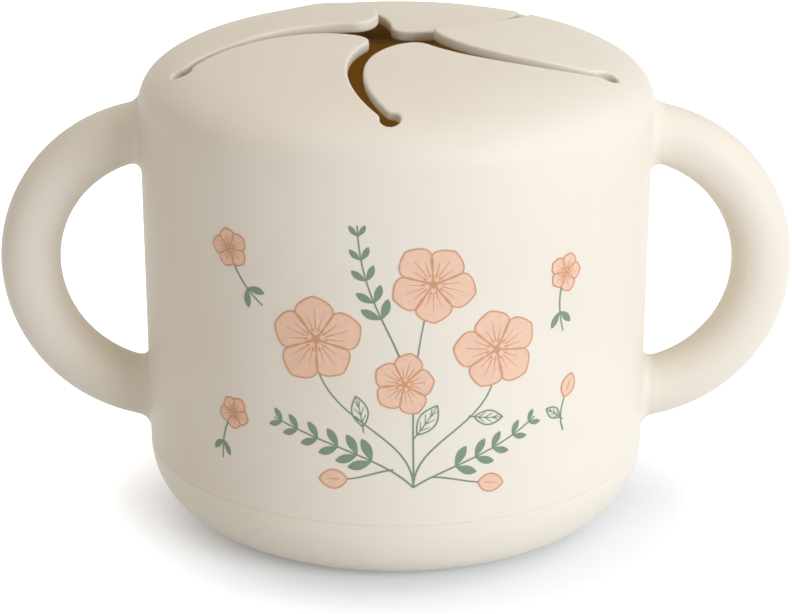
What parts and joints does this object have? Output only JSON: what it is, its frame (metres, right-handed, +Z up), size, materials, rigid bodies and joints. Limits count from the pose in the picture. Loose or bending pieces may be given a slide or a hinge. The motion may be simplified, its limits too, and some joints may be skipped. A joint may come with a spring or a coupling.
{
  "type": "toddler snack container",
  "caption": "Toddler snack cup with two loop handles: a rigid cup inside a soft cover whose crown is slit into pinwheel flaps that bend to let a hand in.",
  "frame": {"origin": "centre of the base, on the surface that the container stands on", "axes": "+Z up, +X towards the right handle, -Y towards the pictured front"},
  "size_m": [0.1432, 0.0914, 0.0905],
  "materials": {
    "cover_silicone": "matte",
    "cup_plastic": "satin"
  },
  "bodies": {
    "cup": {"inner_cup": "cup_plastic"},
    "cover": {"cover": "cover_silicone", "handle_left": "cover_silicone", "handle_right": "cover_silicone"},
    "flap_front_left": {"flap_front_left": "cover_silicone"},
    "flap_front_right": {"flap_front_right": "cover_silicone"},
    "flap_right": {"flap_right": "cover_silicone"},
    "flap_back": {"flap_back": "cover_silicone"},
    "flap_left": {"flap_left": "cover_silicone"}
  },
  "joints": [
    {"name": "cover_pull_off", "type": "slide", "parent": "cup", "child": "cover", "axis": [0, 0, 1], "range_m": [0, 0.08]},
    {"name": "flap_front_left_bend", "type": "hinge", "parent": "cover", "child": "flap_front_left", "pos_m": [-0.01917, -0.02498, 0.08412], "axis": [0.7934, -0.6088, 0], "range_deg": [-70, 45], "stiffness_Nm_per_rad": 0.02},
    {"name": "flap_front_right_bend", "type": "hinge", "parent": "cover", "child": "flap_front_right", "pos_m": [0.01784, -0.02595, 0.08412], "axis": [0.8241, 0.5664, 0], "range_deg": [-70, 45], "stiffness_Nm_per_rad": 0.02},
    {"name": "flap_right_bend", "type": "hinge", "parent": "cover", "child": "flap_right", "pos_m": [0.03019, 0.00894, 0.08412], "axis": [-0.284, 0.9588, 0], "range_deg": [-70, 45], "stiffness_Nm_per_rad": 0.02},
    {"name": "flap_back_bend", "type": "hinge", "parent": "cover", "child": "flap_back", "pos_m": [0.00082, 0.03148, 0.08412], "axis": [-0.9997, 0.0262, 0], "range_deg": [-70, 45], "stiffness_Nm_per_rad": 0.02},
    {"name": "flap_left_bend", "type": "hinge", "parent": "cover", "child": "flap_left", "pos_m": [-0.02968, 0.01051, 0.08412], "axis": [-0.3338, -0.9426, 0], "range_deg": [-70, 45], "stiffness_Nm_per_rad": 0.02}
  ]
}
